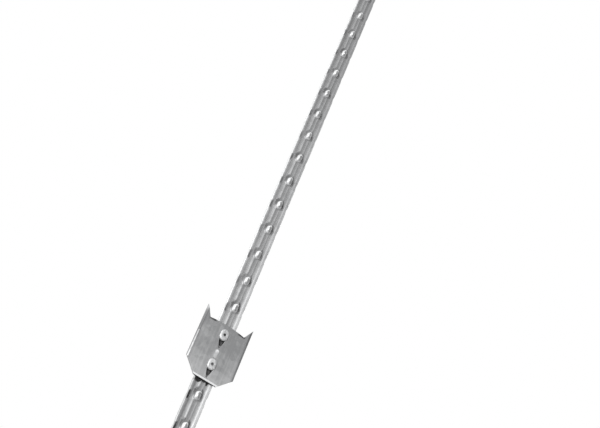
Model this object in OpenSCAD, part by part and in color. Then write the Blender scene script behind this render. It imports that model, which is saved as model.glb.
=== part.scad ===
// Studded steel T fence post with a peened-on anchor plate.
// +Z runs up the post, the studs and the plate face -Y and the stem points to +Y.
// The origin is on the foot face, at the back of the flange in the middle of its width.

/* [Post section] */
// Length of the post from foot to top
post_length = 1829; // [1400:1:2440]
// Width of the flange from edge to edge
flange_width = 35; // [32:0.5:42]
// Depth of the flange from the face of its rib to its back
flange_depth = 4.2; // [3.8:0.1:5.5]
// Width of the rib down the middle of the front
rib_width = 8; // [6:0.1:9]
// Width of the flat land on each side of the shallow hollow along the rib
rib_land = 1; // [0.6:0.1:1.6]
// Depth of that hollow
hollow_depth = 0.7; // [0.3:0.1:1]
// Width of each lip between a flute and the edge of the flange
lip_width = 4.4; // [3.6:0.1:5]
// How far the lips lie behind the face of the rib
lip_drop = 0.4; // [0.2:0.1:0.8]
// Radius on the front edges of the flange
lip_radius = 2.2; // [1.2:0.1:2.5]
// Radius on the back edges of the flange
back_radius = 0.8; // [0.3:0.1:0.9]
// Depth of the two flutes below the face of the rib
flute_depth = 1.6; // [1.2:0.1:2]
// Depth of the whole section from the rib to the end of the stem
section_depth = 35; // [30:0.5:42]
// Thickness of the stem where it leaves the flange
stem_root = 4; // [3.4:0.1:5]
// Thickness of the stem at its rounded end
stem_tip = 3.2; // [2.4:0.1:3.4]
// Radius of the fillets between the stem and the flange
root_radius = 4; // [2:0.1:6]

/* [Studs] */
// Distance from one stud to the next
stud_pitch = 54; // [48:0.5:60]
// Height of the lowest stud above the foot
first_stud = 25; // [20:1:40]
// Least distance from the highest stud to the top
top_margin = 20; // [15:1:40]
// Width of a stud where it leaves the rib
stud_width = 10.6; // [9:0.1:12]
// Length of a stud along the post where it leaves the rib
stud_length = 16.6; // [14:0.1:19]
// How far a stud stands out of the rib
stud_height = 6.4; // [5:0.1:7]
// Lean of the sides of a stud
stud_draft = 24; // [10:1:26]
// Radius round the top of a stud
stud_radius = 2.4; // [1:0.1:2.5]
// How far the edges of the flange draw in beside each stud
waist_depth = 0.8; // [0.4:0.1:1]
// Length of each drawn-in stretch of the edge
waist_length = 15; // [10:0.5:20]

/* [Anchor plate] */
// Width of the plate
plate_width = 88; // [80:1:120]
// Thickness of the plate
plate_thickness = 3.6; // [3:0.1:4]
// Number of studs below the lower stud that holds the plate
studs_below = 5; // [3:1:12]
// Distance from the lower edge of the plate to the lower stud that holds it
plate_below = 27; // [25:0.5:40]
// Distance from the upper stud that holds the plate to its upper edge
plate_above = 19.5; // [15:0.5:30]
// Size of the cut-off lower corners
corner_cut = 23; // [12:0.5:26]
// Height of the ears above the ends of the upper edge
ear_height = 19; // [10:0.5:24]
// Width of the ears where they leave the upper edge
ear_width = 11; // [8:0.5:14]
// Rise of the upper edge from the ears to its middle
crown = 2.5; // [1:0.1:4]
// Width of the sloping strip along each side of the plate
edge_width = 3; // [2:0.1:5]
// How far that strip falls back at the edge
edge_drop = 1.5; // [0.5:0.1:2]

/* [Fixing of the plate] */
// Width of the neck of a stud that goes through the plate
neck_width = 9; // [7:0.1:9.4]
// Length of that neck along the post
neck_length = 14; // [10:0.1:15]
// Clearance round that neck in its slot
slot_clearance = 0.3; // [0.1:0.05:0.6]
// Distance from the stud down to the place where its slot starts to narrow
slot_run = 9; // [7:0.5:11]
// Distance from the stud down to the tip of its slot
slot_drop = 22; // [19:0.5:24]
// Radius of the tip of the slot
slot_tip = 1.2; // [0.8:0.1:2]
// How far a peened head laps over the plate round its slot
head_lap = 2.4; // [1.5:0.1:2.8]
// Height of a peened head above the plate
head_height = 2.8; // [2:0.1:3.5]
// Radius round the rim of a peened head
head_radius = 1.6; // [0.8:0.1:1.8]
// Width of the punch mark in a peened head
punch_width = 5; // [3:0.1:6]
// Depth of the punch mark
punch_depth = 1.6; // [0.8:0.1:1.8]
// Width of the raised bead between the slots
bead_width = 8; // [6:0.1:10]
// Height of the raised bead
bead_height = 1.2; // [0.8:0.1:1.6]
// Space between the bead and the slot above it and the head below it
bead_gap = 2.2; // [1:0.1:3]

/* [Hidden] */
$fn = 48;
steel = "silver";
// A cut runs this far past the face that it opens
cut_past = 1;
rib_face = -flange_depth;
lip_face = lip_drop - flange_depth;
stem_end = section_depth - flange_depth;
// The flutes are arcs over the width that the rib and the lips leave
flute_width = (flange_width - rib_width) / 2 - lip_width;
flute_x = (rib_width + flute_width) / 2;
flute_radius = (pow(flute_width / 2, 2) + pow(flute_depth, 2)) / (2 * flute_depth);
// The hollow is an arc over the width that the two lands of the rib leave
hollow_width = rib_width - 2 * rib_land;
hollow_radius = (pow(hollow_width / 2, 2) + pow(hollow_depth, 2)) / (2 * hollow_depth);
// The sides of the stem lean in by stem_lean for each unit of depth
stem_lean = (stem_root - stem_tip) / (2 * (stem_end - stem_tip / 2));
// Each drawn-in stretch of edge is an arc of this radius
waist_radius = (pow(waist_length / 2, 2) + pow(waist_depth, 2)) / (2 * waist_depth);
stud_count = floor((post_length - first_stud - top_margin) / stud_pitch) + 1;
stud_run = stud_length - stud_width;
neck_run = neck_length - neck_width;
lower_stud = first_stud + studs_below * stud_pitch;
upper_stud = lower_stud + stud_pitch;
plate_front = rib_face - plate_thickness;
plate_bottom = lower_stud - plate_below;
plate_top = upper_stud + plate_above;
// The slot follows the neck of the stud, and the head laps over the slot
slot_radius = neck_width / 2 + slot_clearance;
head_reach = slot_radius + head_lap;
crown_span = plate_width - 2 * ear_width;
crown_radius = (pow(crown_span / 2, 2) + pow(crown, 2)) / (2 * crown);
bead_top = upper_stud - slot_drop - bead_gap;
bead_bottom = lower_stud + neck_run / 2 + head_reach + bead_gap;
bead_radius = (pow(bead_width / 2, 2) + pow(bead_height, 2)) / (2 * bead_height);

// Height above the foot of stud number k, counted from the lowest
function stud_z(k) = first_stud + k * stud_pitch;

// True for the two studs that hold the plate
function holds_plate(k) = k == studs_below || k == studs_below + 1;

// A strip across X between two depths, with one radius on its front edges and one on its back edges
module round_strip(width, front, back, front_radius, back_radius) {
    half = width / 2;
    polygon([
        [front_radius - half, front],
        [half - front_radius, front],
        [half, front + front_radius],
        [half, back - back_radius],
        [half - back_radius, back],
        [back_radius - half, back],
        [-half, back - back_radius],
        [-half, front + front_radius]
    ]);
    for (side = [-1, 1]) {
        translate([side * (half - front_radius), front + front_radius])
            circle(front_radius);
        translate([side * (half - back_radius), back - back_radius])
            circle(back_radius);
    }
}

// The flange: a strip with round edges, a hollow rib along its middle and a flute on each side of the rib
module flange_profile() {
    difference() {
        union() {
            round_strip(flange_width, lip_face, 0, lip_radius, back_radius);
            translate([-flute_x, rib_face])
                square([2 * flute_x, flange_depth]);
        }
        for (side = [-1, 1])
            translate([side * flute_x, rib_face + flute_depth - flute_radius])
                circle(flute_radius);
        translate([0, rib_face + hollow_depth - hollow_radius])
            circle(hollow_radius);
    }
}

// The stem, a little thinner at its round end, with a fillet on each side of its root
module stem_profile() {
    slant = sqrt(1 + stem_lean * stem_lean);
    fillet_x = stem_root / 2 + root_radius * (slant - stem_lean);
    touch_x = fillet_x - root_radius / slant;
    touch_y = root_radius * (1 - stem_lean / slant);
    end_y = stem_end - stem_tip / 2;
    polygon([
        [-stem_root / 2, 0],
        [stem_root / 2, 0],
        [stem_tip / 2, end_y],
        [-stem_tip / 2, end_y]
    ]);
    translate([0, end_y])
        circle(stem_tip / 2);
    for (side = [0, 1])
        mirror([side, 0])
            difference() {
                polygon([[0, 0], [fillet_x, 0], [fillet_x, root_radius], [touch_x, touch_y], [0, touch_y]]);
                translate([fillet_x, root_radius])
                    circle(root_radius);
            }
}

// A long round form on a face at the given depth: a profile turned round both ends of a run along Z.
// The profile's first axis is the distance from the middle, its second the height above the face.
module long_form(face, run) {
    translate([0, face, 0])
        rotate([90, 0, 0]) {
            for (end = [0, 180])
                rotate([0, 0, end])
                    translate([0, run / 2, 0])
                        rotate_extrude(angle = 180)
                            children();
            rotate([90, 0, 0])
                linear_extrude(run, center = true) {
                    children();
                    mirror([1, 0])
                        children();
                }
        }
}

// Half outline of a free stud, from below the floor of the flutes up to its round top
module stud_profile() {
    lean = tan(stud_draft);
    half = stud_width / 2;
    bottom = half + flute_depth * lean;
    // The round of the top touches the leaning side and the flat top
    round_x = half - stud_height * lean - stud_radius * (1 / cos(stud_draft) - lean);
    round_y = stud_height - stud_radius;
    polygon([
        [0, -flute_depth],
        [bottom, -flute_depth],
        [round_x + stud_radius * cos(stud_draft), round_y + stud_radius * sin(stud_draft)],
        [round_x, round_y],
        [round_x, stud_height],
        [0, stud_height]
    ]);
    intersection() {
        translate([round_x, round_y])
            circle(stud_radius);
        translate([0, round_y])
            square([half, stud_radius]);
    }
}

// Half outline of a stud that holds the plate: a straight neck and a peened head with a round rim
module rivet_profile() {
    head_top = plate_thickness + head_height;
    translate([0, -flute_depth])
        square([neck_width / 2, flute_depth + head_top]);
    translate([0, plate_thickness])
        square([head_reach, head_height - head_radius]);
    translate([0, plate_thickness])
        square([head_reach - head_radius, head_height]);
    intersection() {
        translate([head_reach - head_radius, head_top - head_radius])
            circle(head_radius);
        translate([0, plate_thickness])
            square([head_reach, head_height]);
    }
}

// The punch mark in the middle of a peened head
module punch_mark() {
    lean = punch_width / 2 / punch_depth;
    translate([0, plate_front - head_height + punch_depth, 0])
        rotate([90, 0, 0])
            cylinder(h = punch_depth + cut_past, r1 = 0, r2 = lean * (punch_depth + cut_past));
}

// The T bar with its drawn-in edges, its free studs and the two studs that are peened over the plate
module post() {
    color(steel)
        difference() {
            union() {
                linear_extrude(post_length) {
                    flange_profile();
                    stem_profile();
                }
                for (k = [0 : stud_count - 1])
                    translate([0, 0, stud_z(k)])
                        if (holds_plate(k))
                            long_form(rib_face, neck_run)
                                rivet_profile();
                        else
                            long_form(rib_face, stud_run)
                                stud_profile();
            }
            for (k = [0 : stud_count - 1], side = [-1, 1])
                translate([side * (flange_width / 2 + waist_radius - waist_depth), cut_past, stud_z(k)])
                    rotate([90, 0, 0])
                        cylinder(h = flange_depth + 2 * cut_past, r = waist_radius);
            for (z = [lower_stud, upper_stud])
                translate([0, 0, z])
                    punch_mark();
        }
}

// The outline of the plate, with X across and Y up the post
module plate_outline() {
    half = plate_width / 2;
    ear_foot = half - ear_width;
    polygon([
        [corner_cut - half, plate_bottom],
        [half - corner_cut, plate_bottom],
        [half, plate_bottom + corner_cut],
        [half, plate_top - crown + ear_height],
        [ear_foot, plate_top - crown],
        [-ear_foot, plate_top - crown],
        [-half, plate_top - crown + ear_height],
        [-half, plate_bottom + corner_cut]
    ]);
    intersection() {
        translate([0, plate_top - crown_radius])
            circle(crown_radius, $fn = 192);
        translate([-ear_foot, plate_top - 2 * crown])
            square([crown_span, 2 * crown]);
    }
}

// The wedge that slopes the front of the plate down to its right side, seen along the post
module edge_wedge() {
    half = plate_width / 2;
    fall = edge_drop / edge_width;
    polygon([
        [half - edge_width - cut_past, plate_front - fall * cut_past],
        [half + cut_past, plate_front + edge_drop + fall * cut_past],
        [half + cut_past, plate_front - fall * cut_past]
    ]);
}

// The slot of a stud at the origin: round above, straight beside the neck and drawn to a tip below
module plate_slot() {
    top = neck_run / 2;
    reach = slot_drop - slot_run - slot_tip;
    dip = asin((slot_radius - slot_tip) / reach);
    translate([0, top])
        circle(slot_radius);
    translate([-slot_radius, -slot_run])
        square([2 * slot_radius, slot_run + top]);
    translate([0, -slot_run]) {
        circle(slot_radius);
        polygon([
            [-slot_radius * cos(dip), -slot_radius * sin(dip)],
            [-slot_tip * cos(dip), -reach - slot_tip * sin(dip)],
            [slot_tip * cos(dip), -reach - slot_tip * sin(dip)],
            [slot_radius * cos(dip), -slot_radius * sin(dip)],
            [0, 0]
        ]);
        translate([0, -reach])
            circle(slot_tip);
    }
}

// Half outline of the bead: an arc over its width, carried on below the face that it stands on
module bead_profile() {
    translate([0, -bead_height])
        square([bead_width / 2, bead_height]);
    intersection() {
        translate([0, bead_height - bead_radius])
            circle(bead_radius);
        square([bead_width / 2, bead_height]);
    }
}

// The bead on a face at the given depth
module bead(face) {
    translate([0, 0, (bead_top + bead_bottom) / 2])
        long_form(face, bead_top - bead_bottom - bead_width)
            bead_profile();
}

// The plate, seated on the rib, with its two slots, its sloping sides and the bead pressed out of it
module anchor_plate() {
    color(steel)
        difference() {
            union() {
                translate([0, rib_face, 0])
                    rotate([90, 0, 0])
                        linear_extrude(plate_thickness)
                            difference() {
                                plate_outline();
                                for (z = [lower_stud, upper_stud])
                                    translate([0, z])
                                        plate_slot();
                            }
                bead(plate_front);
            }
            bead(rib_face);
            translate([0, 0, plate_bottom])
                linear_extrude(plate_top + ear_height - plate_bottom)
                    for (side = [0, 1])
                        mirror([side, 0])
                            edge_wedge();
        }
}

post();
anchor_plate();
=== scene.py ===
import math

import bmesh
import bpy
from mathutils import Matrix, Vector, noise


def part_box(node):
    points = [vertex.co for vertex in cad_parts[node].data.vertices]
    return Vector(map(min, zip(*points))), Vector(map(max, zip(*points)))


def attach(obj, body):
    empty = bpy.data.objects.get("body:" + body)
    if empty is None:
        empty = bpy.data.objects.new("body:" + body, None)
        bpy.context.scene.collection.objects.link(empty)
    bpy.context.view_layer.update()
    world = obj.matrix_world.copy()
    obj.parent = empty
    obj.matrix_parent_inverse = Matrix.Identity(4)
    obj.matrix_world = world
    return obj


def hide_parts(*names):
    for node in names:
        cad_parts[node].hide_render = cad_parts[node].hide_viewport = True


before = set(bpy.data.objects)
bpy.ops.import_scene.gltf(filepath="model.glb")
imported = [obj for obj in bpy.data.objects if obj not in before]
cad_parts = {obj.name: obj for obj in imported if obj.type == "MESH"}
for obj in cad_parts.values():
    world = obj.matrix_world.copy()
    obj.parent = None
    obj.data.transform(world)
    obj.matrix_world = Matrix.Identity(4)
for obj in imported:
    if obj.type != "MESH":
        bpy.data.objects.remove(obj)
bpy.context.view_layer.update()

# The post: one hot-rolled steel bar of T section, sheared to length and dipped in zinc.
# Its front has a hollow rib between two flutes and a round lip at each edge, and its stem stands behind.
# The studs come out of the same rolls. They lean up a little, and the flange's edges draw in at them.
mm = 0.001
post_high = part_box("post")[1]
flange_half = post_high.x
stem_end = post_high.y
post_top = post_high.z
rib_face = -4.2 * mm
rib_half = 4 * mm
hollow_half = 3 * mm
hollow_depth = 0.7 * mm
lip_face = -3.8 * mm
lip_width = 4.4 * mm
lip_radius = 2.2 * mm
back_radius = 0.8 * mm
flute_depth = 1.6 * mm
stem_root = 4 * mm
stem_tip = 3.2 * mm
root_radius = 4 * mm
arris_radius = 0.6 * mm
hollow_round = 0.3 * mm
end_break = 0.4 * mm
stud_pitch = 54 * mm
first_stud = 25 * mm
stud_half = 5.3 * mm
stud_run = 6 * mm
stud_height = 6.4 * mm
stud_draft = math.radians(24)
stud_foot_blend = 1.6 * mm
stud_radius = 2.4 * mm
stud_lean = 1.5 * mm
waist_depth = 0.8 * mm
waist_length = 17 * mm
waist_start = 11 * mm
plate_studs = (5, 6)
weld_gap = 0.01 * mm
post_crease = math.radians(35)

flute_half = (flange_half - lip_width - rib_half) / 2
flute_x = rib_half + flute_half
flute_radius = (flute_half ** 2 + flute_depth ** 2) / (2 * flute_depth)
flute_middle = (flute_x, rib_face + flute_depth - flute_radius)
hollow_radius = (hollow_half ** 2 + hollow_depth ** 2) / (2 * hollow_depth)
stem_shoulder = stem_end - stem_tip / 2
stem_lean = math.atan((stem_root - stem_tip) / 2 / stem_shoulder)
fillet_x = stem_root / 2 + root_radius * (1 / math.cos(stem_lean) - math.tan(stem_lean))

bay = bmesh.new()


def line_to(mesh, pen, x, y, z=0):
    """Draws a straight edge from pen to that place, and returns its end."""
    end = bmesh.ops.extrude_vert_indiv(mesh, verts=[pen])["verts"][0]
    end.co = (x, y, z)
    return end


def arc_from(pen, middle, turn, steps):
    """Draws a round edge of the section from pen about middle, and returns its end."""
    swept = bmesh.ops.spin(bay, geom=[pen], cent=(*middle, 0), axis=(0, 0, 1), angle=turn, steps=steps)
    return next(part for part in swept["geom_last"] if isinstance(part, bmesh.types.BMVert))


# Half of the section is drawn from the middle of the rib round to the end of the stem, then mirrored
rib_rise = math.asin((flute_radius - flute_depth) / flute_radius)
lip_rise = math.asin((flute_radius - flute_depth + lip_face - rib_face) / flute_radius)
hollow_turn = math.asin(hollow_half / hollow_radius)
pen = bay.verts.new((0, rib_face + hollow_depth, 0))
pen = arc_from(pen, (0, rib_face + hollow_depth - hollow_radius), -hollow_turn, 4)
hollow_edge = pen
pen = line_to(bay, pen, rib_half, rib_face)
arrises = [pen]
pen = arc_from(pen, flute_middle, rib_rise - math.pi / 2, 6)
pen = arc_from(pen, flute_middle, lip_rise - math.pi / 2, 6)
arrises.append(pen)
pen = line_to(bay, pen, flange_half - lip_radius, lip_face)
pen = arc_from(pen, (flange_half - lip_radius, lip_face + lip_radius), math.pi / 2, 6)
pen = line_to(bay, pen, flange_half, -back_radius)
pen = arc_from(pen, (flange_half - back_radius, -back_radius), math.pi / 2, 3)
pen = line_to(bay, pen, (flange_half + fillet_x) / 2, 0)
pen = line_to(bay, pen, fillet_x, 0)
pen = arc_from(pen, (fillet_x, root_radius), stem_lean - math.pi / 2, 6)
pen = line_to(bay, pen, stem_tip / 2, stem_shoulder)
arc_from(pen, (0, stem_shoulder), math.pi / 2, 6)
for corners, radius in ((arrises, arris_radius), ([hollow_edge], hollow_round)):
    bmesh.ops.bevel(bay, geom=corners, offset=radius, segments=2, profile=0.5, affect="VERTICES",
                    material=-1)
bmesh.ops.mirror(bay, geom=bay.verts[:] + bay.edges[:], matrix=Matrix.Identity(4), merge_dist=weld_gap,
                 axis="X")

# One bay of the bar, a stud pitch long, is drawn out level by level and drawn in at its edges
patch_half = 11.4 * mm
patch_steps = 12
patch_margin = 3 * mm
levels = [-stud_pitch / 2, -patch_half - patch_margin]
levels += [patch_half * (2 * step / patch_steps - 1) for step in range(patch_steps + 1)]
levels += [patch_half + patch_margin, stud_pitch / 2]


def grow(mesh, edges):
    """Extrudes a run of edges, and returns the new points and the new edges between them."""
    grown = bmesh.ops.extrude_edge_only(mesh, edges=edges)["geom"]
    points = [part for part in grown if isinstance(part, bmesh.types.BMVert)]
    fresh = set(points)
    sides = [part for part in grown if isinstance(part, bmesh.types.BMEdge)]
    rim = [edge for edge in sides if fresh.issuperset(edge.verts)]
    return points, rim


rim = bay.edges[:]
bmesh.ops.translate(bay, verts=bay.verts, vec=(0, 0, levels[0]))
for lower, upper in zip(levels, levels[1:]):
    points, rim = grow(bay, rim)
    bmesh.ops.translate(bay, verts=points, vec=(0, 0, upper - lower))
for point in bay.verts:
    reach = abs(point.co.x)
    if reach > waist_start and abs(point.co.z) < waist_length / 2:
        share = (reach - waist_start) / (flange_half - waist_start)
        draw = waist_depth * math.cos(math.pi * point.co.z / waist_length) ** 2
        point.co.x -= math.copysign(draw * share, point.co.x)
plain_bay = bpy.data.meshes.new("plain_bay")
bay.to_mesh(plain_bay)


def soft_least(a, b, width):
    """The lesser of two heights, with a round of that width where they cross."""
    share = min(1, max(0, 0.5 + 0.5 * (b - a) / width))
    return b + (a - b) * share - width * share * (1 - share)


def stud_rise(x, reach):
    """Height above the rib of a stud and the front round it, at that distance from the stud's spine."""
    across = max(abs(x), rib_half) - flute_x
    ground = flute_radius - flute_depth - math.sqrt(flute_radius ** 2 - across ** 2)
    if abs(x) < hollow_half:
        ground = hollow_radius - hollow_depth - math.sqrt(hollow_radius ** 2 - x ** 2)
    lean = math.tan(stud_draft)
    round_start = stud_half - stud_height * lean - stud_radius * (1 / math.cos(stud_draft) - lean)
    round_end = round_start + stud_radius * math.cos(stud_draft)
    rise = (stud_half - reach) / lean
    if reach < round_end:
        rise = stud_height - stud_radius + math.sqrt(stud_radius ** 2 - max(0, reach - round_start) ** 2)
    return -soft_least(-rise, -ground, stud_foot_blend)


# The stud: rings drawn in from a gap in the front, up its leaning sides and over its round top
front = [face for face in bay.faces if face.calc_center_median().y < lip_face / 2]
gap = [face for face in front if abs(face.calc_center_median().x) < flute_x]
gap = [face for face in gap if abs(face.calc_center_median().z) < patch_half]
bmesh.ops.delete(bay, geom=gap, context="FACES")
rim = [edge for edge in bay.edges if edge.is_boundary and abs(edge.verts[0].co.z) < stud_pitch / 2 - mm]
stud_rings = (7.4, 6.8, 6.3, 5.9, 5.6, 5.3, 5, 4.7, 4.4, 4.1, 3.8, 3.5, 3.2, 2.8, 2.2, 1.4)
for reach in [size * mm for size in stud_rings]:
    points, rim = grow(bay, rim)
    for point in points:
        spine = max(-stud_run / 2, min(stud_run / 2, point.co.z))
        way = Vector((point.co.x, point.co.z - spine)).normalized() * reach
        point.co = (way.x, rib_face - stud_rise(way.x, reach), spine + way.y)
bmesh.ops.edgeloop_fill(bay, edges=rim)
for point in bay.verts:
    point.co.z += stud_lean * max(0, rib_face - point.co.y) / stud_height
stud_bay = bpy.data.meshes.new("stud_bay")
bay.to_mesh(stud_bay)
bay.free()

# The bays are set end to end, cut off at the foot and at the top, and the cut edges are broken
bar = bmesh.new()
stud_count = math.ceil((post_top - first_stud) / stud_pitch)
for number in range(stud_count):
    made = len(bar.verts)
    bar.from_mesh(plain_bay if number in plate_studs else stud_bay)
    bar.verts.ensure_lookup_table()
    bmesh.ops.translate(bar, verts=bar.verts[made:], vec=(0, 0, first_stud + number * stud_pitch))
bmesh.ops.remove_doubles(bar, verts=bar.verts, dist=weld_gap)
for height, way in ((0, -1), (post_top, 1)):
    everything = bar.verts[:] + bar.edges[:] + bar.faces[:]
    cut = bmesh.ops.bisect_plane(
        bar, geom=everything, plane_co=(0, 0, height), plane_no=(0, 0, way), clear_outer=True)
    rim = [part for part in cut["geom_cut"] if isinstance(part, bmesh.types.BMEdge)]
    bmesh.ops.edgeloop_fill(bar, edges=rim)
    bmesh.ops.recalc_face_normals(bar, faces=bar.faces)
    bmesh.ops.bevel(bar, geom=rim, offset=end_break, segments=2, profile=0.5, affect="EDGES",
                    material=-1)
bmesh.ops.recalc_face_normals(bar, faces=bar.faces)
post_mesh = bpy.data.meshes.new("rolled_post")
bar.to_mesh(post_mesh)
bar.free()
bpy.data.meshes.remove(plain_bay)
bpy.data.meshes.remove(stud_bay)
post_mesh.shade_smooth()
post_mesh.set_sharp_from_angle(angle=post_crease)
rolled_post = bpy.data.objects.new("rolled_post", post_mesh)
bpy.context.scene.collection.objects.link(rolled_post)
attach(rolled_post, "root")
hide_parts("post")


class Wire:
    """A socket in a material's node tree that can be used in sums."""

    def __init__(self, tree, socket):
        self.tree = tree
        self.socket = socket

    def node(self, kind, settings=None, out=0, **inputs):
        """Adds a node of that kind, sets it, feeds its sockets by name and returns one of its outputs.
        A name such as i0 is a socket's place in the list of inputs."""
        made = self.tree.nodes.new(kind)
        for name, value in (settings or {}).items():
            setattr(made, name, value)
        for name, value in inputs.items():
            label = name.replace("_", " ")
            slot = made.inputs[int(name[1:])] if name[1:].isdigit() else made.inputs[label]
            if isinstance(value, Wire):
                self.tree.links.new(value.socket, slot)
            else:
                slot.default_value = value
        return Wire(self.tree, made.outputs[out])

    def maths(self, operation, first, second):
        return self.node("ShaderNodeMath", {"operation": operation}, i0=first, i1=second)

    def __add__(self, other):
        return self.maths("ADD", self, other)

    def __radd__(self, other):
        return self.maths("ADD", other, self)

    def __sub__(self, other):
        return self.maths("SUBTRACT", self, other)

    def __rsub__(self, other):
        return self.maths("SUBTRACT", other, self)

    def __mul__(self, other):
        return self.maths("MULTIPLY", self, other)

    def __rmul__(self, other):
        return self.maths("MULTIPLY", other, self)

    def between(self, low, high, start=0, end=1):
        """Maps this value from low to high onto start to end, smoothly and no further."""
        return self.node("ShaderNodeMapRange", {"interpolation_type": "SMOOTHSTEP"}, Value=self,
                         From_Min=low, From_Max=high, To_Min=start, To_Max=end)

    def size(self):
        """This value without its sign."""
        return self.maths("ABSOLUTE", self, 0)

    def axes(self):
        """The three parts of this place."""
        split = self.node("ShaderNodeSeparateXYZ", Vector=self).socket.node
        return [Wire(self.tree, part) for part in split.outputs]

    def blend(self, first, second):
        """Mixes two colours by this value."""
        return self.node("ShaderNodeMix", {"data_type": "RGBA"}, out=2, i0=self, i6=first, i7=second)


zinc_dull = (0.3, 0.303, 0.307, 1)
zinc_bright = (0.46, 0.463, 0.467, 1)
# The next colour is for wear and painted highlights; the two dark ones after it are painted shade and
# painted shadow.
zinc_wear_and_highlight = (0.86, 0.865, 0.87, 1)
painted_shade_grey = (0.09, 0.09, 0.092, 1)
painted_shadow_black = (0.015, 0.015, 0.015, 1)


def zinc(name, dull, marks):
    """Hot-dip zinc: cloudy grey with faint crystals and fine runs, with the wear, painted highlights,
    painted shade and painted light that marks gives.
    """
    material = bpy.data.materials.new(name)
    material.use_nodes = True
    tree = material.node_tree
    shader = tree.nodes["Principled BSDF"]
    place = Wire(tree, tree.nodes.new("ShaderNodeTexCoord").outputs["Object"])
    crystal = place.node("ShaderNodeTexVoronoi", {"feature": "SMOOTH_F1"}, out=1, Vector=place,
                         Scale=140, Smoothness=0.15)
    crystal = crystal.node("ShaderNodeSeparateColor", Color=crystal)
    cloud = place.node("ShaderNodeTexNoise", Vector=place, Scale=22, Detail=5, Roughness=0.6)
    drawn = place.node("ShaderNodeMapping", Vector=place, Scale=(260, 260, 9))
    run = place.node("ShaderNodeTexNoise", Vector=drawn, Scale=1, Detail=3)
    speck = place.node("ShaderNodeTexNoise", Vector=place, Scale=900, Detail=2)
    tone = 0.44 * cloud + 0.3 * run + 0.1 * crystal + 0.16 * speck
    wear_and_highlight, painted_shade, painted_lift = marks(place)
    shade = (tone + painted_lift).between(0.3, 0.72)
    wear_and_highlight = wear_and_highlight * (0.6 + 0.4 * speck.between(0.3, 0.6))
    painted_shade = painted_shade * (0.55 + 0.45 * cloud.between(0.35, 0.6))
    # Painted shade and shadow darken the colour, wear and painted highlights brighten it, and the third
    # mark shifts the tone as painted light.
    colour = shade.blend(dull, zinc_bright)
    colour = painted_shade.blend(colour, painted_shade_grey)
    colour = painted_shade.between(1, 1.5).blend(colour, painted_shadow_black)
    colour = wear_and_highlight.blend(colour, zinc_wear_and_highlight)
    rough = 0.48 + 0.16 * (cloud - 0.5) + 0.14 * (crystal - 0.5) - 0.1 * wear_and_highlight + 0.15 * painted_shade
    relief = 0.5 * run + 0.35 * speck + 0.15 * crystal
    bump = place.node("ShaderNodeBump", Strength=0.25, Distance=0.25 * mm, Height=relief)
    tree.links.new(colour.socket, shader.inputs["Base Color"])
    tree.links.new(rough.socket, shader.inputs["Roughness"])
    tree.links.new(bump.socket, shader.inputs["Normal"])
    shader.inputs["Metallic"].default_value = 0.3
    return material


def above_stud(height):
    """Height above the nearest stud."""
    step = (height - first_stud) * (1 / stud_pitch) + 0.5
    return (step.maths("FRACT", step, 0) - 0.5) * stud_pitch


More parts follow.
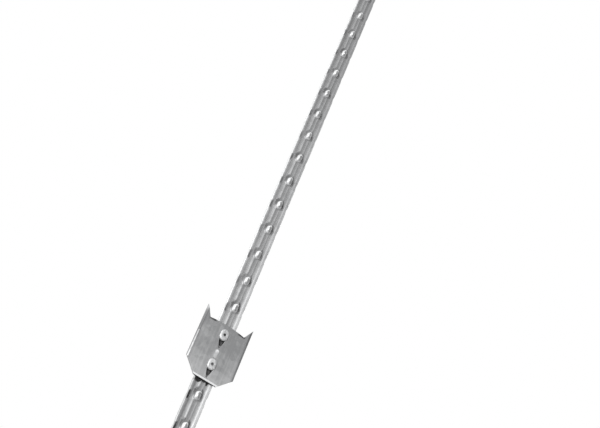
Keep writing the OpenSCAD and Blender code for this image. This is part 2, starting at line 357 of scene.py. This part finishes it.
def post_marks(place):
    """Studs worn bright on their sides, partly a painted highlight, with painted shade on their tops,
    around their feet and above them. The edges are worn bright, partly a painted highlight, with painted
    shade where the lips draw in at each stud, full on the left and faint on the right. Painted shade
    darkens the hollow of the rib. A painted shadow lies just below the plate and painted shade behind
    it, but not behind the tips of its slots. A painted highlight brightens the right side towards the
    foot. Below the plate, painted shade darkens the left edge and its marks at the studs. Towards the
    top, painted shade darkens the flutes and the right edge."""
    across, depth, height = place.axes()
    wander = place.node("ShaderNodeTexNoise", Vector=place, Scale=320, Detail=3)
    wander = (wander - 0.5) * 5 * mm
    along = above_stud(height)
    front = depth.between(-1 * mm, -2 * mm)
    lean = (rib_face - depth).between(0, stud_height, 0, stud_lean)
    past_spine = along.maths("MAXIMUM", (along - lean).size() - stud_run / 2, 0)
    reach = along.maths("SQRT", across * across + past_spine * past_spine, 0)
    past_crest = along.maths("MAXIMUM", (along - lean + 2 * mm).size() - stud_run / 2, 0)
    rough_reach = along.maths("SQRT", across * across + past_crest * past_crest, 0) + wander
    # Stud sides worn bright, partly a painted highlight; the stud tops get painted shade.
    flank = depth.between(rib_face - 1 * mm, rib_face - 2.4 * mm)
    flank = flank * rough_reach.between(1 * mm, 3.6 * mm, 0.05, 1)
    crest = depth.between(rib_face - 3 * mm, rib_face - 6 * mm) * rough_reach.between(3.4 * mm, 1 * mm)
    # Painted shade around each stud's foot, strongest above the stud and beside it.
    past_foot_shade = along.maths("MAXIMUM", (along - 2 * mm).size() - 5 * mm, 0)
    foot_shade_reach = along.maths("SQRT", across * across + past_foot_shade * past_foot_shade, 0)
    foot = reach.between(4.6 * mm, 5.4 * mm) * (foot_shade_reach + wander).between(10.6 * mm, 6.8 * mm)
    foot = foot * along.between(-6 * mm, 3 * mm, 0.1, 1)
    foot = foot * across.size().between(1.5 * mm, 4.5 * mm, 0.3, 1)
    # Painted shade where the lips draw in at each stud, full on the left and faint on the right.
    lip_shade = (across.size() + wander).between(11 * mm, 14 * mm)
    lip_shade = lip_shade * across.size().between(16.8 * mm, 15.4 * mm)
    lip_shade = lip_shade * (along - 3 * mm - 0.5 * across + 2 * wander).size().between(11 * mm, 5 * mm)
    lip_shade = lip_shade * across.between(-2 * mm, 2 * mm, 1, 0.3)
    # The lips are worn bright, partly a painted highlight; below the plate the left one and towards the
    # top the right one lose it as painted shade.
    edge = 0.7 * (across.size() + wander).between(14 * mm, 17 * mm) * (1 - lip_shade)
    # Painted shade in the hollow of the rib.
    hollow = across.size().between(3.4 * mm, 2.4 * mm)
    hollow = hollow * depth.between(rib_face - 0.8 * mm, rib_face - 0.2 * mm)
    # Painted shadow just below the plate and painted shade behind it, left out behind the slots' tips.
    shade_depth = across.size().between(3 * mm, 8 * mm, 3 * mm, 6.5 * mm)
    shade_depth = shade_depth * across.between(7 * mm, 9.5 * mm, 1, 0.3)
    plate_shadow = (height + shade_depth + wander - plate_low.z).between(-0.5 * mm, 2 * mm)
    plate_shadow = plate_shadow * height.between(covered_top, covered_top - mm)
    plate_shadow = plate_shadow * height.between(plate_low.z + 2 * mm, plate_low.z + 6 * mm, 2, 1.6)
    unshaded_tip = along.between(slot_tip_start, slot_tip_end)
    unshaded_tip = unshaded_tip * height.between(plate_low.z + 5 * mm, plate_low.z + 6 * mm)
    plate_shadow = plate_shadow * (1 - unshaded_tip)
    # Below the plate, painted shade on the left lip, and the marks at the studs painted darker on the
    # left.
    below_plate = height.between(plate_low.z - 1 * mm, plate_low.z - 6 * mm)
    left_lip_shade = 0.5 * below_plate * (across + wander).between(-8 * mm, -11 * mm)
    deeper_left_shade = 0.9 + 0.7 * below_plate * across.between(2 * mm, -2 * mm)
    # Painted shade towards the top: the flutes and the right edge are darker.
    top_shade = height.between(plate_high.z + 65 * mm, plate_high.z + 800 * mm)
    top_flute_shade = 0.5 * top_shade * across.size().between(3 * mm, 5 * mm)
    painted_shade = lip_shade.maths("MAXIMUM", deeper_left_shade * lip_shade, foot)
    for layer in (0.4 * hollow, 0.6 * crest, left_lip_shade, plate_shadow, top_flute_shade):
        painted_shade = painted_shade.maths("MAXIMUM", painted_shade, layer)
    # Painted highlight: the right flute is brighter towards the foot.
    towards_foot = height.between(plate_high.z + 300 * mm, plate_low.z - 30 * mm)
    right_flute_highlight = 0.55 * towards_foot * (across + wander).between(8 * mm, 11 * mm)
    edge = edge * (1 - left_lip_shade) * (1 - 0.6 * top_shade * across.between(-2 * mm, 2 * mm))
    wear_and_highlight = flank.maths("MAXIMUM", flank.maths("MAXIMUM", flank, edge), right_flute_highlight)
    return wear_and_highlight, front * painted_shade, 0


plate_low, plate_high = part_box("anchor_plate")
covered_top = plate_high.z - 18 * mm
# Down a slot from its stud, the painted shade behind the plate stops between these two heights
slot_tip_start = -15 * mm
slot_tip_end = -18 * mm
post_zinc = zinc("post_zinc", zinc_dull, post_marks)
post_mesh.materials.append(post_zinc)

# The two studs that hold the anchor plate: they belong to the post and go through the plate's slots.
# Each is peened cold over the plate, which leaves a long round head with a punch mark in its middle.
plate_thickness = 3.6 * mm
plate_back = plate_high.y
plate_front = plate_back - plate_thickness
neck_radius = 4.5 * mm
neck_run = 5 * mm
neck_sunk = 1 * mm
head_reach = 7.2 * mm
head_height = 2.8 * mm
head_rim = 0.6 * mm
head_lift = 1.7 * mm
punch_reach = 2.5 * mm
punch_rim = 2.9 * mm
punch_lip = 0.15 * mm
punch_depth = 1.6 * mm
punch_floor_reach = 0.45 * punch_reach
punch_floor_depth = 0.7 * punch_depth
dent_depth = 0.7 * mm
dent_width = 4 * mm
head_sides = 48
dome_steps = 9
head_crease = math.radians(40)
hair = 0.1 * mm

heads = bmesh.new()
head_top = plate_front - head_height
pen = heads.verts.new((0, rib_face + neck_sunk, 0))
pen = line_to(heads, pen, neck_radius, rib_face + neck_sunk)
pen = line_to(heads, pen, neck_radius, plate_front)
pen = line_to(heads, pen, head_reach, plate_front)
pen = line_to(heads, pen, head_reach, plate_front - head_rim)
for step in range(1, dome_steps + 1):
    turn = math.pi / 2 * step / dome_steps
    pen = line_to(heads, pen, punch_rim + (head_reach - punch_rim) * math.cos(turn),
                  plate_front - head_rim - (head_height - head_rim) * math.sin(turn))
pen = line_to(heads, pen, punch_reach, head_top + punch_lip)
pen = line_to(heads, pen, punch_floor_reach, head_top + punch_floor_depth)
line_to(heads, pen, 0, head_top + punch_depth)
half_side = Matrix.Rotation(math.pi / head_sides, 3, "Y")
bmesh.ops.rotate(heads, verts=heads.verts, matrix=half_side)
bmesh.ops.spin(heads, geom=heads.verts[:] + heads.edges[:], cent=(0, 0, 0), axis=(0, 1, 0),
               angle=2 * math.pi, steps=head_sides, use_merge=True)
bmesh.ops.remove_doubles(heads, verts=heads.verts, dist=weld_gap)
for point in heads.verts:
    reach = point.co.xz.length
    spread = min(1, max(0, (reach - punch_reach) / (neck_radius - punch_reach)))
    point.co.z += math.copysign(neck_run / 2 * spread, point.co.z)
    if reach > neck_radius + hair or point.co.y < plate_front - hair:
        point.co.z += head_lift
bmesh.ops.recalc_face_normals(heads, faces=heads.faces)
upper = bmesh.ops.duplicate(heads, geom=heads.verts[:] + heads.edges[:] + heads.faces[:])["geom"]
lower_stud = first_stud + plate_studs[0] * stud_pitch
upper_stud = lower_stud + stud_pitch
upper_points = [part for part in upper if isinstance(part, bmesh.types.BMVert)]
bmesh.ops.translate(heads, verts=upper_points, vec=(0, 0, stud_pitch))
bmesh.ops.translate(heads, verts=heads.verts, vec=(0, 0, lower_stud))
for point in heads.verts:
    if point.co.y < plate_front - head_rim - hair:
        point.co.y += dent_depth * max(0, noise.noise(point.co / dent_width))
head_mesh = bpy.data.meshes.new("peened_studs")
heads.to_mesh(head_mesh)
heads.free()
head_mesh.shade_smooth()
head_mesh.set_sharp_from_angle(angle=head_crease)


def head_marks(place):
    """Heads hammered bright in patches, and painted shade in the hollow where the punch went in."""
    across, depth, height = place.axes()
    patch = place.node("ShaderNodeTexNoise", Vector=place, Scale=260, Detail=3)
    wear_and_highlight = depth.between(rib_face - 1 * mm, rib_face - 4 * mm) * patch.between(0.3, 0.65, 0.1, 0.7)
    along = above_stud(height) - head_lift
    from_middle = across * across + along * along
    # Painted shade in the punch's hollow.
    punch_shade = from_middle.between(punch_reach ** 2 * 1.5, punch_reach ** 2 * 0.6)
    return wear_and_highlight * (1 - punch_shade), 1.8 * punch_shade, 0


peened_zinc = zinc("peened_zinc", zinc_dull, head_marks)
head_mesh.materials.append(peened_zinc)
peened_studs = bpy.data.objects.new("peened_studs", head_mesh)
bpy.context.scene.collection.objects.link(peened_studs)
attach(peened_studs, "root")

# The anchor plate: sheet steel blanked in a press, with two ears, two cut corners and two drop-shaped
# slots, and with a bead pressed out between them. It is dipped in zinc and the peened studs hold it.
plate_half = plate_high.x
plate_bottom = plate_low.z
ear_tip = plate_high.z
ear_height = 19 * mm
ear_width = 11 * mm
crown = 2.5 * mm
corner_cut = 23 * mm
slot_radius = 4.8 * mm
slot_run = 9 * mm
slot_drop = 22 * mm
slot_tip = 1.2 * mm
bead_half = 4 * mm
bead_height = 1.2 * mm
bead_gap = 2.2 * mm
side_fold = 3 * mm
side_drop = 1.5 * mm
front_roll = 0.6 * mm
back_roll = 0.2 * mm
square_corner = math.radians(60)
plate_crease = math.radians(25)

ear_foot = ear_tip - ear_height
bead_top = upper_stud - slot_drop - bead_gap
bead_bottom = lower_stud + neck_run / 2 + head_reach + bead_gap
frame_half = 9.5 * mm
frame_steps = 5
frame_above = 2.5 * mm
frame_below = 2.4 * mm
slot_head = neck_run / 2 + slot_radius + frame_above
rows = [plate_bottom, lower_stud - slot_drop - frame_below, lower_stud + slot_head]
rows += [bead_top + bead_gap / 2, upper_stud + slot_head, ear_foot]
row_steps = [1, 16, 11, 15, 3]
crown_half = plate_half - ear_width
columns = [frame_half * step / frame_steps for step in range(frame_steps + 1)]
columns += [14 * mm, 18 * mm, 22.5 * mm, 27 * mm]
columns += [crown_half, plate_half - ear_width / 2, plate_half]

plate = bmesh.new()
pen = plate.verts.new((-plate_half, plate_front, plate_bottom))
for x in [-x for x in reversed(columns[1:-1])] + columns:
    pen = line_to(plate, pen, x, plate_front, plate_bottom)
rim = plate.edges[:]
for low, high, steps in zip(rows, rows[1:], row_steps):
    for step in range(steps):
        points, rim = grow(plate, rim)
        bmesh.ops.translate(plate, verts=points, vec=(0, 0, (high - low) / steps))
for point in points:
    share = max(0, 1 - (point.co.x / crown_half) ** 2)
    point.co.z += crown * share
top_edge = rim
ear_start = crown_half - hair
for side in (-1, 1):
    rim = [edge for edge in top_edge if min(side * point.co.x for point in edge.verts) > ear_start]
    made = 0
    for share in (0.3, 0.6, 0.85, 1):
        points, rim = grow(plate, rim)
        for point in points:
            gone = side * plate_half - point.co.x
            point.co.x += gone * (share - made) / (1 - made)
            point.co.z += ear_height * (share - made)
        made = share
for side in (-1, 1):
    everything = plate.verts[:] + plate.edges[:] + plate.faces[:]
    bmesh.ops.bisect_plane(
        plate, geom=everything, plane_co=(side * plate_half, 0, plate_bottom + corner_cut),
        plane_no=(side, 0, -1), clear_outer=True)


def open_frame(low, high):
    """Takes the faces between two rows out of the middle of the plate, and returns the gap's rim."""
    inside = []
    for face in plate.faces:
        middle = face.calc_center_median()
        if abs(middle.x) < frame_half and low < middle.z < high:
            inside.append(face)
    ring = [edge for edge in plate.edges if sum(face in inside for face in edge.link_faces) == 1]
    bmesh.ops.delete(plate, geom=inside, context="FACES")
    return ring


# A slot is drawn in from its gap towards its outline: round above, straight sided, then down to a tip
for neck, low, high in ((lower_stud, rows[1], rows[2]), (upper_stud, rows[3], rows[4])):
    rim = open_frame(low, high)
    for share in (0.3, 1):
        points, rim = grow(plate, rim)
        for point in points:
            spine = max(slot_tip - slot_drop, min(neck_run / 2, point.co.z - neck))
            taper = max(0, (-slot_run - spine) / (slot_drop - slot_run - slot_tip))
            reach = slot_radius + (slot_tip - slot_radius) * taper
            way = Vector((point.co.x, 0, point.co.z - neck - spine)).normalized() * reach
            outline = Vector((0, plate_front, neck + spine)) + way
            point.co = point.co.lerp(outline, share)

# The bead is drawn in from its gap and pressed forward ring by ring
rim = open_frame(rows[2], rows[3])
bead_radius = (bead_half ** 2 + bead_height ** 2) / (2 * bead_height)
bead_foot_blend = 0.7 * mm
bead_rings = (4.8, 4.3, 3.9, 3.5, 3, 2.3, 1.5, 0.7)
for reach in [size * mm for size in bead_rings]:
    points, rim = grow(plate, rim)
    for point in points:
        spine = max(bead_bottom + bead_half, min(bead_top - bead_half, point.co.z))
        way = Vector((point.co.x, 0, point.co.z - spine)).normalized() * reach
        swell = math.sqrt(bead_radius ** 2 - reach ** 2) + bead_height - bead_radius
        rise = -soft_least(-swell, 0, bead_foot_blend)
        point.co = (way.x, plate_front - rise, spine + way.z)
bmesh.ops.edgeloop_fill(plate, edges=rim)
bmesh.ops.remove_doubles(plate, verts=plate.verts, dist=hair)

# The sheet gets its thickness, then the press rolls its front edges over and leaves the back ones crisp.
# Last, the strips along its sides are bent back
back = bmesh.ops.extrude_face_region(plate, geom=plate.faces[:])["geom"]
back = [part for part in back if isinstance(part, bmesh.types.BMVert)]
bmesh.ops.translate(plate, verts=back, vec=(0, plate_thickness, 0))
bmesh.ops.recalc_face_normals(plate, faces=plate.faces)
middle_depth = (plate_front + plate_back) / 2
square_edges = [edge for edge in plate.edges if edge.calc_face_angle(0) > square_corner]
front_edges = [edge for edge in square_edges if max(point.co.y for point in edge.verts) < middle_depth]
back_edges = [edge for edge in square_edges if min(point.co.y for point in edge.verts) > middle_depth]
bmesh.ops.bevel(plate, geom=front_edges, offset=front_roll, segments=4, profile=0.5, affect="EDGES",
                clamp_overlap=True, material=-1)
back_edges = [edge for edge in back_edges if edge.is_valid]
bmesh.ops.bevel(plate, geom=back_edges, offset=back_roll, segments=2, profile=0.5, affect="EDGES",
                clamp_overlap=True, material=-1)
for side in (-1, 1):
    everything = plate.verts[:] + plate.edges[:] + plate.faces[:]
    bmesh.ops.bisect_plane(
        plate, geom=everything, plane_co=(side * (plate_half - side_fold), 0, 0), plane_no=(1, 0, 0))
for point in plate.verts:
    near = 1 - (plate_half - abs(point.co.x)) / side_fold
    if near > 0:
        point.co.y += side_drop * near * (plate_back - point.co.y) / plate_thickness
plate_mesh = bpy.data.meshes.new("pressed_plate")
plate.to_mesh(plate_mesh)
plate.free()
plate_mesh.shade_smooth()
plate_mesh.set_sharp_from_angle(angle=plate_crease)


def plate_marks(place):
    """A bead worn bright, with a painted highlight at its upper end, painted highlights on the left side
    and the left ear's tip, and a painted highlight along the lower front edge. Painted shade darkens the
    cut edges below and in the slots, but not at the tips of the slots, and two painted shadows lie
    beside the ears. Painted shade darkens the bent sides, and painted light brightens the plate towards
    its lower edge and its left side."""
    across, depth, height = place.axes()
    # The bead is worn bright, with a painted highlight at its upper end.
    pressed = depth.between(plate_front - 0.3 * mm, plate_front - bead_height * 0.8)
    pressed = pressed * height.between(bead_top - 9 * mm, bead_top - 3 * mm, 0.35, 1)
    # Painted highlight along the lower front edge.
    lower_edge_highlight = height.between(plate_bottom + 3.4 * mm, plate_bottom + 2.2 * mm)
    lower_edge_highlight = lower_edge_highlight * depth.between(plate_front + 1.2 * mm, plate_front + 0.6 * mm)
    edge = plate_half - across.size()
    side = edge.between(side_fold, side_fold - 0.4 * mm)
    left = across.between(0, -mm)
    # Painted highlights on the left side strip and the left ear's tip.
    left_side_highlight = side * left * edge.between(0.7 * mm, 1.2 * mm)
    wander = place.node("ShaderNodeTexNoise", Vector=place, Scale=150, Detail=3)
    left_highlight_reach = (height + (wander - 0.5) * 40 * mm).between(ear_foot - 27 * mm, ear_foot - 35 * mm)
    left_side_highlight = 0.6 * left_side_highlight * left_highlight_reach * wander.between(0.3, 0.6, 0.5, 1)
    ear_tip_highlight = 0.3 * side * left * height.between(ear_tip - 15 * mm, ear_tip - 4 * mm)
    wear_and_highlight = pressed
    for layer in (lower_edge_highlight, left_side_highlight, ear_tip_highlight):
        wear_and_highlight = wear_and_highlight.maths("MAXIMUM", wear_and_highlight, layer)
    # Painted shadows on the top edge beside each ear.
    ear_foot_shadow = 1.4 * height.between(ear_foot - 3.2 * mm, ear_foot - 1 * mm)
    ear_foot_shadow = ear_foot_shadow * height.between(ear_foot + 4 * mm, ear_foot + 2 * mm)
    ear_foot_shadow = ear_foot_shadow * across.size().between(19 * mm, 24 * mm) * across.size().between(36 * mm, 33 * mm)
    # Painted shade on the cut edges: the lower edge's underside and the slot walls, except at the slots'
    # tips.
    cut = depth.between(plate_front + 0.5 * mm, plate_front + 1.2 * mm)
    below = height.between(plate_bottom + 0.6 * mm, plate_bottom + 0.2 * mm)
    in_slot = across.size().between(7 * mm, 6 * mm)
    in_slot = in_slot * above_stud(height).between(slot_tip_end, slot_tip_start)
    cut = 2 * cut * below.maths("MAXIMUM", below, in_slot)
    # Painted shade on the bent-back side strips.
    side_fold_shade = edge.between(side_fold + 2 * mm, side_fold)
    side_fold_shade = side_fold_shade * height.between(plate_bottom + 20 * mm, plate_bottom + 70 * mm, 0.45, 0.7)
    painted_shade = ear_foot_shadow.maths("MAXIMUM", ear_foot_shadow.maths("MAXIMUM", ear_foot_shadow, cut), side_fold_shade)
    # Painted light: the plate is brighter towards its lower edge and its left side.
    painted_light_gradient = 2.6 * (lower_stud + 12 * mm - height) - 0.2 * across
    return wear_and_highlight, painted_shade, painted_light_gradient


plate_dull = (0.24, 0.243, 0.247, 1)
plate_zinc = zinc("plate_zinc", plate_dull, plate_marks)
plate_mesh.materials.append(plate_zinc)
pressed_plate = bpy.data.objects.new("pressed_plate", plate_mesh)
bpy.context.scene.collection.objects.link(pressed_plate)
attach(pressed_plate, "root")
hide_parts("anchor_plate")

# The studio: a pale floor under the post's foot, a white surround, and soft lamps on the left, below,
# on the right, overhead and behind. The camera stands below the foot, so the floor is clear from below.
floor_half = 30
floor_seen = (0.88, 0.88, 0.88, 1)
floor_bounce = (0.2, 0.2, 0.2, 1)
ambient = 0.2

floor_mesh = bpy.data.meshes.new("studio_floor")
floor_shape = bmesh.new()
bmesh.ops.create_grid(floor_shape, x_segments=1, y_segments=1, size=floor_half)
floor_shape.to_mesh(floor_mesh)
floor_shape.free()


def seen_rays(tree):
    """One for what is seen, also in gloss or through glass, and nought for light cast on things."""
    rays = tree.nodes.new("ShaderNodeLightPath").outputs
    seen = Wire(tree, rays["Is Camera Ray"])
    seen = seen.maths("MAXIMUM", seen, Wire(tree, rays["Is Glossy Ray"]))
    return seen.maths("MAXIMUM", seen, Wire(tree, rays["Is Transmission Ray"]))


floor_paint = bpy.data.materials.new("floor_paint")
floor_paint.use_nodes = True
tree = floor_paint.node_tree
matt = tree.nodes["Principled BSDF"]
pale = seen_rays(tree).blend(floor_bounce, floor_seen)
tree.links.new(pale.socket, matt.inputs["Base Color"])
matt.inputs["Roughness"].default_value = 0.9
under = Wire(tree, tree.nodes.new("ShaderNodeNewGeometry").outputs["Backfacing"])
clear = under.node("ShaderNodeBsdfTransparent")
floor_look = under.node("ShaderNodeMixShader", i0=under, i1=Wire(tree, matt.outputs[0]), i2=clear)
tree.links.new(floor_look.socket, tree.nodes["Material Output"].inputs["Surface"])
floor_mesh.materials.append(floor_paint)
studio_floor = bpy.data.objects.new("studio_floor", floor_mesh)
bpy.context.scene.collection.objects.link(studio_floor)
studio_floor.visible_shadow = False

surround = bpy.data.worlds.new("white_surround")
bpy.context.scene.world = surround
surround.use_nodes = True
tree = surround.node_tree
backdrop = tree.nodes["Background"]
backdrop.inputs["Color"].default_value = (1, 1, 1, 1)
level = ambient + (1 - ambient) * seen_rays(tree)
tree.links.new(level.socket, backdrop.inputs["Strength"])

key_from = Vector((-0.72, -0.68, 0.08))
bounce_from = Vector((-0.35, -0.35, -0.85))
fill_from = Vector((0.6, -0.75, 0.1))
overhead_from = Vector((0, 0.4, 1))
back_from = Vector((0.4, 0.85, 0.35))
side_from = Vector((-0.92, -0.12, 0.3))
lamps = (("key", key_from, 2.5, 8), ("bounce", bounce_from, 0.35, 40), ("fill", fill_from, 0.3, 40),
         ("side", side_from, 0.9, 25), ("overhead", overhead_from, 2, 50), ("back", back_from, 1.2, 30))
for name, way, strength, spread in lamps:
    lamp = bpy.data.lights.new(name, "SUN")
    lamp.energy = strength
    lamp.angle = math.radians(spread)
    lamp_object = bpy.data.objects.new(name, lamp)
    lamp_object.rotation_euler = way.to_track_quat("Z", "Y").to_euler()
    bpy.context.scene.collection.objects.link(lamp_object)

# The camera stands low on the post's left and looks up at it. It is turned so that the post leans to the
# right, and both ends of the post are out of its view.
camera_place = Vector((-0.508, -1.432, -0.373))
camera_target = Vector((0.0435, 0, 0.6324))
camera_roll = math.radians(22.39)
camera = bpy.data.cameras.new("camera")
camera.sensor_fit = "HORIZONTAL"
camera.sensor_width = 36
camera.lens = 63
camera_object = bpy.data.objects.new("camera", camera)
aim = (camera_target - camera_place).to_track_quat("-Z", "Y").to_matrix().to_4x4()
lean = Matrix.Rotation(camera_roll, 4, "Z")
camera_object.matrix_world = Matrix.Translation(camera_place) @ aim @ lean
bpy.context.scene.collection.objects.link(camera_object)
bpy.context.scene.camera = camera_object
bpy.context.scene.view_settings.view_transform = "Standard"
